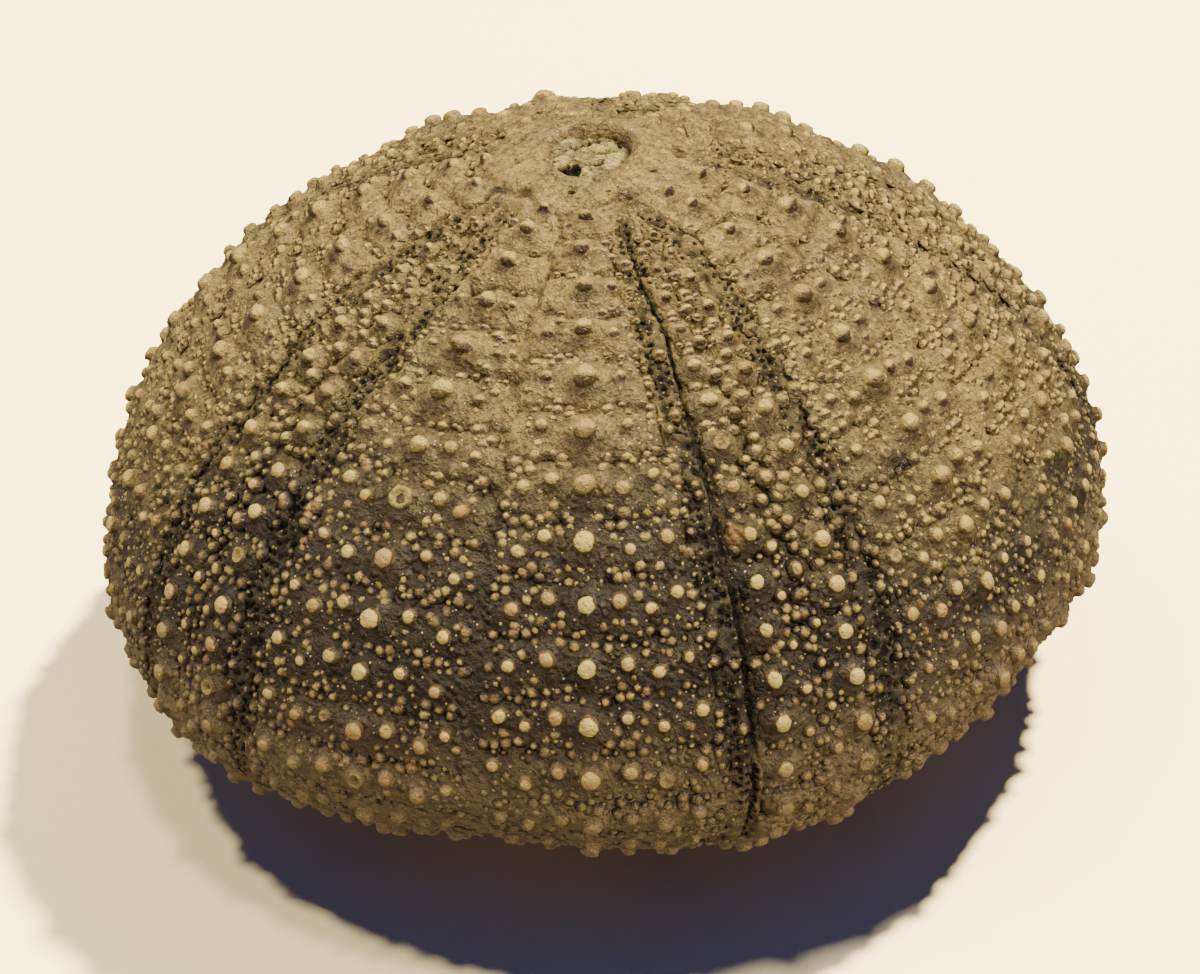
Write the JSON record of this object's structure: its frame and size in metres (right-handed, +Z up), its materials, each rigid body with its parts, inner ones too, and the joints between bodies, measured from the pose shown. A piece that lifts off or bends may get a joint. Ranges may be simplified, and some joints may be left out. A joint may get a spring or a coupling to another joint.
{
  "type": "fossil sea urchin",
  "caption": "Low domed stony sea urchin covered in rows of round tubercles, with dark pore bands down its sides and a filled opening at the apex.",
  "frame": {"origin": "on the surface the urchin rests on, under the middle of its outline", "axes": "+Z up through the apex; one broad interambulacrum faces -Y; +X to the right of it"},
  "size_m": [0.0714, 0.0713, 0.0388],
  "materials": {
    "test_stone": "dull tan to grey-brown calcite with darker, dirt-filled hollows and cream tubercle tips",
    "fill_crust": "dry whitish flaky crust with dark holes"
  },
  "bodies": {
    "root": {"test": "test_stone", "periproct_fill": "fill_crust"}
  },
  "joints": []
}
